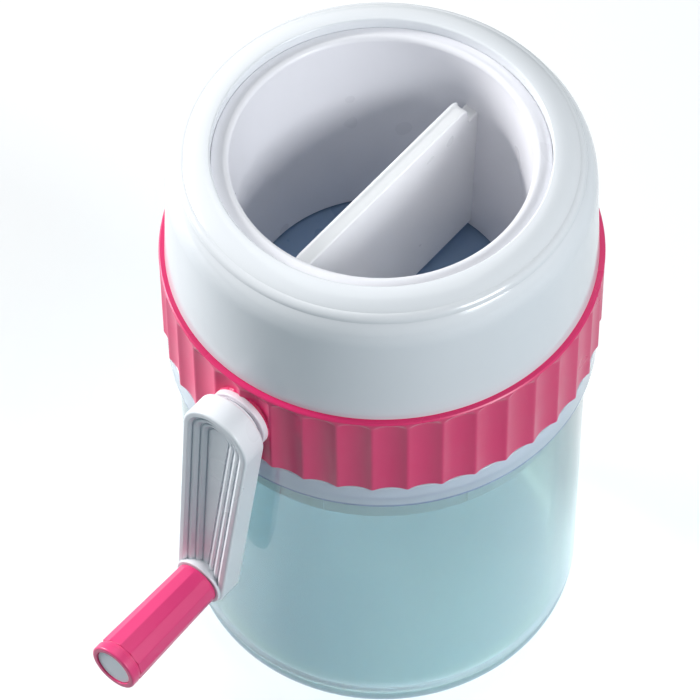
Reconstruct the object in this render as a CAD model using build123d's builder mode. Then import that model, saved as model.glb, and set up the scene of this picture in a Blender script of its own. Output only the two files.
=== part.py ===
from build123d import *
import math
import os

os.makedirs("parts", exist_ok=True)

# Hand crank ice crusher, in millimetres. The origin is the centre of the cup's underside, +Z is up
# and the crank comes out along -Y. Every radius is from the centre line unless its name says more.

# ---------------------------------------------------------------- cup
cup_height = 122.0
cup_wall = 2.4
cup_base = 5.0
cup_foot_round = 10.0
cup_well_round = 8.0
cup_draft = 0.4         # the body widens by this from foot to collar
collar_r = 62.0
collar_overhang = 2.8   # the collar stands this far out from the body
collar_height = 9.3
cup_edge_round = 0.8

# ---------------------------------------------------------------- fits
seat_gap = 0.2          # the head stands this far off the cup's rim
plug_gap = 0.6          # the neck inside the cup
rib_gap = 0.1           # the neck's friction ribs inside the cup
snap_gap = 0.1          # pieces that snap into one another
turn_gap = 0.3          # the drum and its gear in their guides
slide_gap = 0.1         # the gear above its slide ring
shaft_gap = 0.05        # a shaft in its bush, and pieces keyed to it
spindle_gap = 0.08      # the grip on its spindle
end_gap = 0.2           # end float of what turns with the crank

# ---------------------------------------------------------------- fluted ring
ring_overhang = 1.0     # the ring stands this far out from the collar
ring_wall = 4.4
ring_seat_step = 0.9    # the stepped seats for the chassis and the hood
ring_chamfer = 0.9
flute_count = 40
flute_depth = 1.0
flute_land = 0.7
flute_band = 1.2
flute_runout = 2.5
bead_r = 0.5

# ---------------------------------------------------------------- hood
hood_height = 42.2
hood_setback = 1.7      # the hood's foot inside the ring's outer face
hood_taper = 2.0        # from the hood's foot to its crown
hood_wall = 2.6
hood_shoulder = 13.0
shoulder_share = 0.9    # of the flat crown that the shoulder may take
spigot_depth = 4.0
spigot_wall = 2.4
mouth_step = 3.6
mouth_edge_round = 0.6
ledge_thickness = 2.4
guide_depth = 12.0
guide_wall = 2.2

# ---------------------------------------------------------------- chassis
floor_thickness = 3.0
neck_depth = 20.5
neck_wall = 2.0
rib_count = 8
rib_width = 3.5
rib_length = 9.0
rib_setback = 1.0
rib_start = -70.0
upstand_height = 3.8
upstand_wall = 1.7
track_depth = 0.4
track_width = 6.0
slide_height = 1.0      # the slide ring stands this far above the floor

# ---------------------------------------------------------------- blade
blade_inset = 3.5       # the blade ends this far inside the hopper's foot
blade_width = 13.0
blade_thickness = 1.2
blade_tilt = 12.0
blade_lift = 1.2
blade_inner_x = 5.0
blade_edge_y = -1.0
blade_bevel = 0.9
slot_reach = 5.0
slot_tuck = 2.0
slot_inset = 0.5
blade_pad = 2.2
blade_screw_r = 1.2
blade_screw_head_r = 2.2
blade_screw_length = 4.4
blade_screw_spacing = 18.0
blade_screw_setback = 4.0

# ---------------------------------------------------------------- hopper drum and vane
drum_taper = 3.6        # the bore widens by this from foot to lip
drum_wall = 2.3
drum_floor_gap = 0.6
drum_lip_rise = 1.6
drum_lip_round = 1.5
drum_rim_width = 5.0
drum_rim_gap = 0.5
drum_rim_thickness = 2.4
drum_land = 7.0
drum_flange_width = 5.0
drum_flange_gap = 0.7   # the flange stops this far inside the teeth
drum_flange_thickness = 2.0
vane_thickness = 4.3
vane_top_drop = 15.2
vane_inset = 2.0        # the vane's ends above its shoulders, inside the bore at its foot
vane_floor_gap = 2.5
vane_corner_round = 3.0
vane_edge_round = 0.6
vane_tongue_gap = 0.3
vane_shoulder_drop = 6.0  # from the vane's top to the shoulders that reach into the drum's wall
groove_share = 0.5      # of the drum's wall that a vane groove takes

# ---------------------------------------------------------------- gears
gear_teeth = 60
pinion_teeth = 10
gear_face = 7.0
gear_rim = 0.5
gear_back = 1.45        # under the teeth at the gear's outer edge
gear_bore_gap = 0.1
pressure_angle = 20.0
backlash = 0.3
pinion_addendum = 1.0   # in modules
gear_addendum = 0.55    # in modules
tooth_clearance = 0.25  # in modules
gear_screw_count = 4
gear_screw_r = 1.1
gear_screw_head_r = 2.0
gear_screw_head = 1.3
gear_screw_bite = 1.6
tooth_sink = 0.4        # the gear's teeth start this far inside its rim

# ---------------------------------------------------------------- crank
crank_lean = 6.4        # degrees that the arm rests off straight down, towards -X
crank_length = 76.3
arm_stand_off = 2.0     # between the bush and the arm
arm_thickness = 8.25
arm_hub_r = 11.35
arm_foot_r = 8.5
arm_edge_round = 0.8
arm_steps = (1.4, 4.4, 7.8)
arm_step_depth = 0.7
arm_step_round = 0.3
arm_boss_r = 8.0
arm_foot_boss_r = 7.6
arm_floor_left = 1.1
shaft_r = 3.0
shaft_flats = 4.6
shaft_square = 4.2
bush_r = 5.0
bush_flange_r = 9.5
bush_flange_thickness = 2.0
bush_edge_round = 0.5
bush_sink = 0.5         # the flange sits this far inside the ring's outer face
boss_inset = 2.4        # the ring's boss inside its bore
boss_gap = 0.2          # between the boss and the chassis's upstand
boss_headroom = 1.3     # between the boss and the hood's spigot
pinion_hub_gap = 0.3
pinion_washer_r = 4.2
pinion_washer_thickness = 0.8
pinion_screw_r = 1.0
pinion_screw_head_r = 2.8
pinion_screw_head = 1.8
pinion_screw_length = 8.0
shaft_shy = 0.2

# ---------------------------------------------------------------- knob
knob_length = 37.8
knob_base_r = 6.9
knob_end_r = 7.75
knob_sides = 12
knob_base_disc = 1.0
knob_rim_width = 2.8
knob_groove = 1.0
knob_groove_depth = 0.5
knob_rim_round = 0.6
knob_washer_r = 7.85
knob_washer_thickness = 0.9
spindle_r = 2.0
spindle_head_r = 3.8
spindle_head = 1.6
spindle_seat = 7.2
knob_cap_r = 5.9
knob_cap_thickness = 1.2
knob_cap_sink = 0.4
knob_cap_room = 1.4

# ---------------------------------------------------------------- worked-out places
# Radii run inwards from the collar: ring, boss, upstand, gear, drum and the hopper's bore.
cup_body_r = collar_r - collar_overhang
cup_foot_r = cup_body_r - cup_draft
cup_bore_r = cup_foot_r - cup_wall
ring_r = collar_r + ring_overhang
ring_bore_r = ring_r - ring_wall
ring_seat_r = ring_bore_r + ring_seat_step
seat_fit_r = ring_seat_r - snap_gap
boss_face_y = ring_bore_r - boss_inset
upstand_r = boss_face_y - boss_gap - upstand_wall
gear_outer_r = upstand_r - turn_gap
outer_face_y = gear_outer_r - gear_rim
inner_face_y = outer_face_y - gear_face
gear_mean_r = (inner_face_y + outer_face_y) / 2
drum_flange_r = inner_face_y - drum_flange_gap
drum_foot_r = drum_flange_r - drum_flange_width
drum_foot_bore_r = drum_foot_r - drum_wall
drum_lip_r = drum_foot_bore_r + drum_taper
drum_land_r = drum_lip_r + drum_wall
drum_rim_r = drum_lip_r + drum_rim_width
mouth_r = drum_rim_r + drum_rim_gap
guide_r = drum_land_r + turn_gap
hood_foot_r = ring_r - hood_setback
hood_crown_r = hood_foot_r - hood_taper
gear_bore_r = drum_foot_r + gear_bore_gap
gear_screw_circle_r = (gear_bore_r + drum_flange_r) / 2

# The bevel pair sets the crank's height, and the ring is as tall as the crank's boss needs.
module_size = 2 * gear_mean_r / gear_teeth
pinion_pitch_r = module_size * pinion_teeth / 2
gear_dedendum = (pinion_addendum + tooth_clearance) * module_size
root_slope = (pinion_pitch_r + gear_dedendum) / gear_mean_r
collar_z = cup_height - collar_height
head_z = cup_height + seat_gap
floor_z = head_z + floor_thickness
track_z = floor_z - track_depth
slide_top_z = floor_z + slide_height
gear_foot_z = slide_top_z + slide_gap
hub_z = gear_foot_z + gear_back + gear_outer_r * root_slope
gear_web_z = hub_z - drum_flange_r * root_slope
spigot_z = hub_z + bush_flange_r + boss_headroom
ring_top_z = spigot_z + spigot_depth
hood_top_z = ring_top_z + hood_height

drum_foot_z = floor_z + drum_floor_gap
drum_rim_z = hood_top_z - mouth_step
drum_rim_under_z = drum_rim_z - drum_rim_thickness
drum_lip_z = drum_rim_z + drum_lip_rise
flange_top_z = gear_web_z + drum_flange_thickness
land_z = drum_rim_under_z - drum_land
ledge_z = drum_rim_under_z - turn_gap
guide_z = ledge_z - guide_depth
vane_top_z = hood_top_z - vane_top_drop
vane_foot_z = floor_z + vane_floor_gap
vane_half_length = drum_foot_bore_r - vane_inset
shoulder_z = vane_top_z - vane_shoulder_drop
groove_depth = drum_wall * groove_share
blade_length = drum_foot_bore_r - blade_inset - blade_inner_x

bush_seat_y = ring_r - bush_sink
bush_face_y = bush_seat_y + bush_flange_thickness
arm_back_y = bush_face_y + arm_stand_off
arm_face_y = arm_back_y + arm_thickness
arm_foot_x = -crank_length * math.sin(math.radians(crank_lean))
arm_foot_z = hub_z - crank_length * math.cos(math.radians(crank_lean))
washer_face_y = arm_face_y + knob_washer_thickness
knob_base_y = washer_face_y + end_gap
knob_end_y = knob_base_y + knob_length
knob_rim_y = knob_end_y - knob_rim_width
cap_face_y = knob_end_y - knob_cap_sink
cap_seat_y = cap_face_y - knob_cap_thickness
spindle_end_y = cap_seat_y - knob_cap_room
spindle_shoulder_y = spindle_end_y - spindle_head


def corner(profile, radius, height):
    """The vertex of a profile that lies nearest to a radius and a height."""
    return profile.vertices().sort_by_distance((radius, height, 0))[0]


def drum_bore(height):
    """The tapered hopper's inside radius at a height."""
    share = (height - drum_foot_z) / (drum_lip_z - drum_foot_z)
    return drum_foot_bore_r + share * (drum_lip_r - drum_foot_bore_r)


def crank_plane(distance):
    """The plane across the crank's axis at a distance from the centre line, facing outwards."""
    return Plane(origin=(0, -distance, hub_z), x_dir=(1, 0, 0), z_dir=(0, -1, 0))


def knob_plane(distance):
    """The plane across the knob's axis at a distance from the centre line, facing outwards."""
    return Plane(origin=(arm_foot_x, -distance, arm_foot_z), x_dir=(1, 0, 0), z_dir=(0, -1, 0))


def arm_plane(distance):
    """The same plane as the crank's, with its X along the arm from hub to foot."""
    along = (arm_foot_x, 0, arm_foot_z - hub_z)
    return Plane(origin=(0, -distance, hub_z), x_dir=along, z_dir=(0, -1, 0))


# ---------------------------------------------------------------- cup, clear, with a thick collar
with BuildPart() as cup:
    with BuildSketch(Plane.XZ) as cup_profile:
        with BuildLine():
            Polyline(
                (0, 0),
                (cup_foot_r, 0),
                (cup_body_r, collar_z),
                (collar_r, collar_z),
                (collar_r, cup_height),
                (cup_bore_r, cup_height),
                (cup_bore_r, cup_base),
                (0, cup_base),
                close=True,
            )
        make_face()
        fillet(corner(cup_profile, cup_foot_r, 0), cup_foot_round)
        fillet(corner(cup_profile, cup_bore_r, cup_base), cup_well_round)
        fillet(corner(cup_profile, collar_r, collar_z), cup_edge_round)
    revolve(axis=Axis.Z)
cup.part.label = "cup"
export_step(cup.part, "parts/cup.step")

# ---------------------------------------------------------------- fluted ring
# Each flute is cut by a round-ended cylinder that leaves a narrow land on either side, so the
# flute ends in an arch below a plain band.
flute_half_width = ring_r * math.sin(math.pi / flute_count) - flute_land / 2
flute_floor_r = ring_r - flute_depth
flute_sagitta = math.sqrt(ring_r**2 - flute_half_width**2) - flute_floor_r
flute_r = (flute_half_width**2 + flute_sagitta**2) / (2 * flute_sagitta)
flute_foot_clear = 1.0  # the cutter starts this far below the ring

with BuildPart() as flute:
    with BuildSketch(Plane.XY.offset(head_z - flute_foot_clear)):
        with Locations((flute_floor_r + flute_r, 0)):
            Circle(flute_r)
    extrude(amount=ring_top_z - flute_band - head_z + flute_foot_clear)
    fillet(flute.faces().sort_by(Axis.Z)[-1].edges(), flute_runout)

with BuildPart() as ring_housing:
    with BuildSketch(Plane.XZ) as ring_profile:
        with BuildLine():
            Polyline(
                (ring_seat_r, head_z),
                (ring_r, head_z),
                (ring_r, ring_top_z),
                (ring_seat_r, ring_top_z),
                (ring_seat_r, spigot_z),
                (ring_bore_r, spigot_z),
                (ring_bore_r, floor_z),
                (ring_seat_r, floor_z),
                close=True,
            )
        make_face()
        chamfer(corner(ring_profile, ring_r, ring_top_z), ring_chamfer)
        with Locations((seat_fit_r, (head_z + floor_z) / 2), (seat_fit_r, (spigot_z + ring_top_z) / 2)):
            Circle(bead_r + snap_gap, mode=Mode.SUBTRACT)
    revolve(axis=Axis.Z)
    with PolarLocations(0, flute_count, start_angle=-90 + 180 / flute_count):
        add(flute.part, mode=Mode.SUBTRACT)
    with BuildSketch(crank_plane(bush_seat_y)):
        Circle(bush_flange_r)
    extrude(amount=boss_face_y - bush_seat_y)
    with BuildSketch(crank_plane(bush_seat_y)):
        Circle(bush_flange_r + snap_gap)
    extrude(amount=bush_flange_thickness, mode=Mode.SUBTRACT)
    with BuildSketch(crank_plane(gear_mean_r)):
        Circle(bush_r + shaft_gap)
    extrude(amount=bush_seat_y - gear_mean_r, mode=Mode.SUBTRACT)
ring_housing.part.label = "ring_housing"
export_step(ring_housing.part, "parts/ring_housing.step")

# ---------------------------------------------------------------- hood
ledge_wall_r = mouth_r + ledge_thickness

with BuildPart() as hood:
    with BuildSketch(Plane.XZ) as hood_profile:
        with BuildLine():
            Polyline(
                (seat_fit_r, ring_top_z),
                (hood_foot_r, ring_top_z),
                (hood_crown_r, hood_top_z),
                (guide_r, hood_top_z),
                (guide_r, guide_z),
                (guide_r + guide_wall, guide_z),
                (guide_r + guide_wall, ledge_z - ledge_thickness),
                (ledge_wall_r, ledge_z - ledge_thickness),
                (ledge_wall_r, hood_top_z - hood_wall),
                (hood_crown_r - hood_wall, hood_top_z - hood_wall),
                (hood_foot_r - hood_wall, ring_top_z + spigot_depth),
                (seat_fit_r - spigot_wall, ring_top_z),
                (seat_fit_r - spigot_wall, spigot_z + snap_gap),
                (seat_fit_r, spigot_z + snap_gap),
                close=True,
            )
        make_face()
        shoulder_room = (hood_crown_r - guide_r) * shoulder_share
        fillet(corner(hood_profile, hood_crown_r, hood_top_z), min(hood_shoulder, shoulder_room))
        fillet(
            corner(hood_profile, hood_crown_r - hood_wall, hood_top_z - hood_wall),
            (hood_crown_r - hood_wall - ledge_wall_r) / 2,
        )
        with Locations((mouth_r, ledge_z)):
            Rectangle(
                mouth_r - guide_r + hood_wall,
                hood_top_z - ledge_z,
                align=(Align.MAX, Align.MIN),
                mode=Mode.SUBTRACT,
            )
        fillet(corner(hood_profile, mouth_r, hood_top_z), mouth_edge_round)
        with Locations((seat_fit_r, (spigot_z + ring_top_z) / 2)):
            Circle(bead_r)
    revolve(axis=Axis.Z)
hood.part.label = "hood"
export_step(hood.part, "parts/hood.step")

# ---------------------------------------------------------------- blade seat
blade_mid_x = blade_inner_x + blade_length / 2
tilt = math.radians(blade_tilt)
blade_plane = Plane(
    origin=(blade_mid_x, blade_edge_y, floor_z + blade_lift),
    x_dir=(1, 0, 0),
    z_dir=(0, math.sin(tilt), math.cos(tilt)),
)
blade_screw_y = blade_width - blade_screw_setback
blade_screw_spots = [
    blade_plane.location * Location((side * blade_screw_spacing / 2, blade_screw_y, 0))
    for side in (-1, 1)
]
blade_back_y = blade_edge_y + blade_width * math.cos(tilt)

# ---------------------------------------------------------------- chassis: floor, neck and track
neck_r = cup_bore_r - plug_gap
rib_r = cup_bore_r - rib_gap

with BuildPart() as chassis:
    with BuildSketch(Plane.XZ) as chassis_profile:
        with Locations((0, head_z)):
            Rectangle(seat_fit_r, floor_thickness, align=(Align.MIN, Align.MIN))
        with Locations((neck_r, head_z)):
            Rectangle(neck_wall, neck_depth, align=(Align.MAX, Align.MAX))
        with Locations((upstand_r, floor_z)):
            Rectangle(upstand_wall, upstand_height, align=(Align.MIN, Align.MIN))
        with Locations((gear_mean_r, floor_z)):
            Rectangle(
                track_width + 2 * snap_gap,
                track_depth,
                align=(Align.CENTER, Align.MAX),
                mode=Mode.SUBTRACT,
            )
        with Locations((seat_fit_r, (head_z + floor_z) / 2)):
            Circle(bead_r)
    revolve(axis=Axis.Z)
    with BuildSketch(Plane.XY.offset(head_z - neck_depth + rib_setback)):
        with PolarLocations(neck_r - neck_wall / 2, rib_count, start_angle=rib_start):
            Rectangle(rib_r - neck_r + neck_wall / 2, rib_width, align=(Align.MIN, Align.CENTER))
    extrude(amount=rib_length)
    # The floor thickens under the blade, which lies in a sloping pocket above it.
    with BuildSketch(Plane.XY.offset(head_z)):
        with Locations((blade_mid_x, blade_edge_y + slot_tuck)):
            Rectangle(
                blade_length + 2 * blade_pad,
                blade_back_y - blade_edge_y - slot_tuck + blade_pad,
                align=(Align.CENTER, Align.MIN),
            )
    extrude(amount=-blade_pad)
    with BuildSketch(blade_plane.offset(-blade_thickness)):
        with Locations((0, -end_gap)):
            Rectangle(
                blade_length + 2 * end_gap,
                blade_width + 2 * end_gap,
                align=(Align.CENTER, Align.MIN),
            )
    extrude(amount=blade_thickness + blade_lift + floor_thickness, mode=Mode.SUBTRACT)
    with BuildSketch(Plane.XY.offset(head_z - blade_pad)):
        with Locations((blade_mid_x, blade_edge_y + slot_tuck)):
            Rectangle(
                blade_length - 2 * slot_inset,
                slot_reach + slot_tuck,
                align=(Align.CENTER, Align.MAX),
            )
    extrude(amount=blade_pad + floor_thickness, mode=Mode.SUBTRACT)
    with Locations(*blade_screw_spots):
        Hole(blade_screw_r + shaft_gap)
chassis.part.label = "chassis"
export_step(chassis.part, "parts/chassis.step")

# ---------------------------------------------------------------- blade and its screws
with BuildPart() as blade:
    with BuildSketch(blade_plane):
        Rectangle(blade_length, blade_width, align=(Align.CENTER, Align.MIN))
    extrude(amount=-blade_thickness)
    edge_face = blade.faces().sort_by(Axis.Y)[0]
    chamfer(edge_face.edges().sort_by(Axis.Z)[0], blade_bevel)
    with Locations(*blade_screw_spots):
        CounterSinkHole(
            blade_screw_r + shaft_gap,
            blade_screw_head_r + shaft_gap,
            counter_sink_angle=90,
        )
blade.part.label = "blade"
export_step(blade.part, "parts/blade.step")

with BuildPart() as blade_screw:
    with BuildSketch(Plane.XZ):
        with BuildLine():
            Polyline(
                (0, 0),
                (blade_screw_head_r, 0),
                (blade_screw_r, blade_screw_r - blade_screw_head_r),
                (blade_screw_r, -blade_screw_length),
                (0, -blade_screw_length),
                close=True,
            )
        make_face()
    revolve(axis=Axis.Z)

with BuildPart() as blade_screws:
    with Locations(*blade_screw_spots):
        add(blade_screw.part)
blade_screws.part.label = "blade_screws"
export_step(blade_screws.part, "parts/blade_screws.step")

# ---------------------------------------------------------------- slide ring under the gear
with BuildPart() as slide_ring:
    with BuildSketch(Plane.XY.offset(track_z)):
        Circle(gear_mean_r + track_width / 2)
        Circle(gear_mean_r - track_width / 2, mode=Mode.SUBTRACT)
    extrude(amount=slide_top_z - track_z)
slide_ring.part.label = "slide_ring"
export_step(slide_ring.part, "parts/slide_ring.step")

# ---------------------------------------------------------------- turning hopper drum
# The tapered drum hangs by its rim inside the hood's mouth and carries the gear at its foot. Two
# grooves in its wall hold the vane, which stands on their lower ends.
groove_foot_y = drum_bore(vane_foot_z) + groove_depth
groove_top_y = drum_bore(shoulder_z) + groove_depth

with BuildPart() as rotor_drum:
    with BuildSketch(Plane.XZ) as drum_profile:
        with BuildLine():
            Polyline(
                (drum_foot_bore_r, drum_foot_z),
                (drum_foot_r, drum_foot_z),
                (drum_foot_r, gear_web_z),
                (drum_flange_r, gear_web_z),
                (drum_flange_r, flange_top_z),
                (drum_bore(flange_top_z) + drum_wall, flange_top_z),
                (drum_bore(land_z) + drum_wall, land_z),
                (drum_land_r, land_z),
                (drum_land_r, drum_rim_under_z),
                (drum_rim_r, drum_rim_under_z),
                (drum_rim_r, drum_rim_z),
                (drum_lip_r, drum_lip_z),
                close=True,
            )
        make_face()
        fillet(corner(drum_profile, drum_lip_r, drum_lip_z), drum_lip_round)
    revolve(axis=Axis.Z)
    with BuildSketch(Plane.YZ):
        with BuildLine():
            Polyline(
                (-groove_foot_y, vane_foot_z),
                (groove_foot_y, vane_foot_z),
                (groove_top_y, shoulder_z),
                (-groove_top_y, shoulder_z),
                close=True,
            )
        make_face()
    extrude(amount=vane_thickness / 2 + snap_gap, both=True, mode=Mode.SUBTRACT)
    with BuildSketch(Plane.XY.offset(gear_web_z)):
        with PolarLocations(gear_screw_circle_r, gear_screw_count):
            Circle(gear_screw_r + shaft_gap)
    extrude(amount=gear_screw_bite, mode=Mode.SUBTRACT)
rotor_drum.part.label = "rotor_drum"
export_step(rotor_drum.part, "parts/rotor_drum.step")

# ---------------------------------------------------------------- vane across the hopper
shoulder_top_z = shoulder_z - vane_tongue_gap
vane_side = [
    (groove_foot_y - vane_tongue_gap, vane_foot_z),
    (groove_top_y - vane_tongue_gap, shoulder_top_z),
    (vane_half_length, shoulder_top_z),
    (vane_half_length, vane_top_z),
]


def above_shoulders(edge):
    """Whether an edge belongs to the part of the vane that stands above its shoulders."""
    return edge.center().Z > shoulder_z


with BuildPart() as vane:
    with BuildSketch(Plane.YZ) as vane_profile:
        with BuildLine():
            Polyline(*vane_side, *[(-y, z) for y, z in reversed(vane_side)], close=True)
        make_face()
        fillet(corner(vane_profile, vane_half_length, vane_top_z), vane_corner_round)
        fillet(corner(vane_profile, -vane_half_length, vane_top_z), vane_corner_round)
    extrude(amount=vane_thickness / 2, both=True)
    for side_face in (vane.faces().sort_by(Axis.X)[0], vane.faces().sort_by(Axis.X)[-1]):
        fillet(side_face.edges().filter_by(above_shoulders), vane_edge_round)
vane.part.label = "vane"
export_step(vane.part, "parts/vane.step")

# ---------------------------------------------------------------- crown gear and its pinion
# Both are bevel gears whose teeth shrink towards the point where their two axes cross. A crown
# gear tooth is a straight wedge, whose two flanks meet in a line through that point, cut to height.
half_tooth = math.pi * module_size / 4 - backlash / 4
flank_slope = math.tan(math.radians(pressure_angle))
gear_tip_slope = (pinion_pitch_r - gear_addendum * module_size) / gear_mean_r
gear_sunk_slope = (pinion_pitch_r + gear_dedendum + tooth_sink) / gear_mean_r
ridge_slope = (pinion_pitch_r - half_tooth / flank_slope) / gear_mean_r


def pinion_outline(distance):
    """The pinion's toothed outline, with a tooth straight down, at a distance from the centre line."""
    scale = distance / gear_mean_r
    base_r = pinion_pitch_r * math.cos(math.radians(pressure_angle))
    tip_r = pinion_pitch_r + pinion_addendum * module_size
    root_r = pinion_pitch_r - (gear_addendum + tooth_clearance) * module_size
    points = []
    for tooth in range(pinion_teeth):
        middle = -math.pi / 2 + tooth * 2 * math.pi / pinion_teeth
        flank = [(root_r, base_r), (base_r, base_r), ((base_r + tip_r) / 2,) * 2, (tip_r, tip_r)]
        for side in (-1, 1):
            for radius, curve_r in flank[::-side]:
                angle = middle + side * involute_half_angle(curve_r, base_r)
                points.append((radius * math.cos(angle) * scale, radius * math.sin(angle) * scale))
    return points


def involute_half_angle(radius, base_r):
    """Half of the angle that an involute pinion tooth spans at a radius, in radians."""
    pressure = math.radians(pressure_angle)
    local = math.acos(min(1.0, base_r / radius))
    roll = math.tan(local) - local
    return half_tooth / pinion_pitch_r + math.tan(pressure) - pressure - roll


with BuildPart() as gear_tooth:
    with BuildSketch(crank_plane(0)):
        wedge_half_width = gear_face * flank_slope
        wedge = [(0, 0), (-wedge_half_width, -gear_face), (wedge_half_width, -gear_face)]
        Polygon(*wedge, align=None)
    extrude(amount=gear_outer_r, dir=(0, -1, -ridge_slope))
    with BuildSketch(Plane.YZ):
        Polygon(
            (-inner_face_y, hub_z - inner_face_y * gear_tip_slope),
            (-inner_face_y, hub_z - inner_face_y * gear_sunk_slope),
            (-outer_face_y, hub_z - outer_face_y * gear_sunk_slope),
            (-outer_face_y, hub_z - outer_face_y * gear_tip_slope),
            align=None,
        )
    extrude(amount=gear_face, both=True, mode=Mode.INTERSECT)

with BuildPart() as crown_gear:
    with BuildSketch(Plane.XZ):
        with BuildLine():
            Polyline(
                (gear_bore_r, gear_foot_z),
                (gear_outer_r, gear_foot_z),
                (gear_outer_r, gear_foot_z + gear_back),
                (drum_flange_r, gear_web_z),
                (gear_bore_r, gear_web_z),
                close=True,
            )
        make_face()
    revolve(axis=Axis.Z)
    with PolarLocations(0, gear_teeth, start_angle=180 / gear_teeth):
        add(gear_tooth.part)
    with BuildSketch(Plane.XY.offset(gear_foot_z)):
        with PolarLocations(gear_screw_circle_r, gear_screw_count):
            Circle(gear_screw_head_r + shaft_gap)
    extrude(amount=gear_screw_head, mode=Mode.SUBTRACT)
    with BuildSketch(Plane.XY.offset(gear_foot_z)):
        with PolarLocations(gear_screw_circle_r, gear_screw_count):
            Circle(gear_screw_r + shaft_gap)
    extrude(amount=gear_web_z - gear_foot_z, mode=Mode.SUBTRACT)
crown_gear.part.label = "crown_gear"
export_step(crown_gear.part, "parts/crown_gear.step")

with BuildPart() as gear_screws:
    with BuildSketch(Plane.XY.offset(gear_foot_z)):
        with PolarLocations(gear_screw_circle_r, gear_screw_count):
            Circle(gear_screw_head_r)
    extrude(amount=gear_screw_head)
    with BuildSketch(Plane.XY.offset(gear_foot_z)):
        with PolarLocations(gear_screw_circle_r, gear_screw_count):
            Circle(gear_screw_r)
    extrude(amount=gear_web_z - gear_foot_z + gear_screw_bite)
gear_screws.part.label = "gear_screws"
export_step(gear_screws.part, "parts/gear_screws.step")

with BuildPart() as pinion:
    for distance in (inner_face_y, outer_face_y):
        with BuildSketch(crank_plane(distance)):
            Polygon(*pinion_outline(distance), align=None)
    loft(ruled=True)
    with BuildSketch(crank_plane(inner_face_y)):
        Circle(shaft_r + shaft_gap)
        Rectangle(shaft_flats + 2 * shaft_gap, 2 * (shaft_r + shaft_gap), mode=Mode.INTERSECT)
    extrude(amount=gear_face, mode=Mode.SUBTRACT)
pinion.part.label = "pinion"
export_step(pinion.part, "parts/pinion.step")

# ---------------------------------------------------------------- bush, shaft and its fastening
bush_inner_y = outer_face_y + pinion_hub_gap
shaft_inner_y = inner_face_y + shaft_shy
arm_boss_y = bush_face_y + end_gap
shaft_outer_y = arm_face_y - len(arm_steps) * arm_step_depth - arm_floor_left

with BuildPart() as crank_bush:
    with BuildSketch(crank_plane(bush_inner_y)):
        Circle(bush_r)
    extrude(amount=bush_seat_y - bush_inner_y)
    with BuildSketch(crank_plane(bush_seat_y)):
        Circle(bush_flange_r)
    extrude(amount=bush_flange_thickness)
    fillet(crank_bush.faces().sort_by(Axis.Y)[0].edges(), bush_edge_round)
    with BuildSketch(crank_plane(bush_inner_y)):
        Circle(shaft_r + shaft_gap)
    extrude(amount=bush_face_y - bush_inner_y, mode=Mode.SUBTRACT)
crank_bush.part.label = "crank_bush"
export_step(crank_bush.part, "parts/crank_bush.step")

with BuildPart() as drive_shaft:
    with BuildSketch(crank_plane(shaft_inner_y)):
        Circle(shaft_r)
        Rectangle(shaft_flats, 2 * (shaft_r + shaft_gap), mode=Mode.INTERSECT)
    extrude(amount=outer_face_y + pinion_hub_gap / 2 - shaft_inner_y)
    with BuildSketch(crank_plane(outer_face_y + pinion_hub_gap / 2)):
        Circle(shaft_r)
    extrude(amount=arm_boss_y - outer_face_y - pinion_hub_gap / 2)
    with BuildSketch(crank_plane(arm_boss_y)):
        Rectangle(shaft_square, shaft_square)
    extrude(amount=shaft_outer_y - arm_boss_y)
    with BuildSketch(crank_plane(shaft_inner_y)):
        Circle(pinion_screw_r + shaft_gap)
    extrude(amount=pinion_screw_length, mode=Mode.SUBTRACT)
drive_shaft.part.label = "drive_shaft"
export_step(drive_shaft.part, "parts/drive_shaft.step")

with BuildPart() as pinion_washer:
    with BuildSketch(crank_plane(inner_face_y)):
        Circle(pinion_washer_r)
        Circle(pinion_screw_r + shaft_gap, mode=Mode.SUBTRACT)
    extrude(amount=-pinion_washer_thickness)
pinion_washer.part.label = "pinion_washer"
export_step(pinion_washer.part, "parts/pinion_washer.step")

with BuildPart() as pinion_screw:
    with BuildSketch(crank_plane(inner_face_y - pinion_washer_thickness)):
        Circle(pinion_screw_head_r)
    extrude(amount=-pinion_screw_head)
    with BuildSketch(crank_plane(inner_face_y - pinion_washer_thickness)):
        Circle(pinion_screw_r)
    extrude(amount=pinion_screw_length)
pinion_screw.part.label = "pinion_screw"
export_step(pinion_screw.part, "parts/pinion_screw.step")

# ---------------------------------------------------------------- crank arm
with BuildPart() as crank_arm:
    with BuildSketch(arm_plane(arm_back_y)):
        Circle(arm_hub_r)
        with Locations((crank_length, 0)):
            Circle(arm_foot_r)
        make_hull()
    extrude(amount=arm_thickness)
    fillet(crank_arm.faces().sort_by(Axis.Y)[0].edges(), arm_edge_round)
    fillet(crank_arm.faces().sort_by(Axis.Y)[-1].edges(), arm_edge_round)
    for number, inset in enumerate(arm_steps):
        with BuildSketch(arm_plane(arm_face_y - number * arm_step_depth)):
            Circle(arm_hub_r - inset)
            with Locations((crank_length, 0)):
                Circle(max(arm_foot_r - inset, arm_edge_round / 2))
            make_hull()
        extrude(amount=-arm_step_depth, mode=Mode.SUBTRACT)
        fillet(crank_arm.edges(Select.LAST).group_by(Axis.Y)[0], arm_step_round)
    with BuildSketch(knob_plane(arm_face_y)):
        Circle(arm_foot_boss_r)
    extrude(amount=-arm_thickness / 2)
    with BuildSketch(crank_plane(arm_back_y)):
        Circle(arm_boss_r)
    extrude(amount=arm_boss_y - arm_back_y)
    with BuildSketch(crank_plane(arm_boss_y)):
        Rectangle(shaft_square + 2 * shaft_gap, shaft_square + 2 * shaft_gap)
    extrude(amount=shaft_outer_y + shaft_gap - arm_boss_y, mode=Mode.SUBTRACT)
    with BuildSketch(knob_plane(arm_face_y)):
        Circle(spindle_r + shaft_gap)
    extrude(amount=-spindle_seat, mode=Mode.SUBTRACT)
crank_arm.part.label = "crank_arm"
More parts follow.
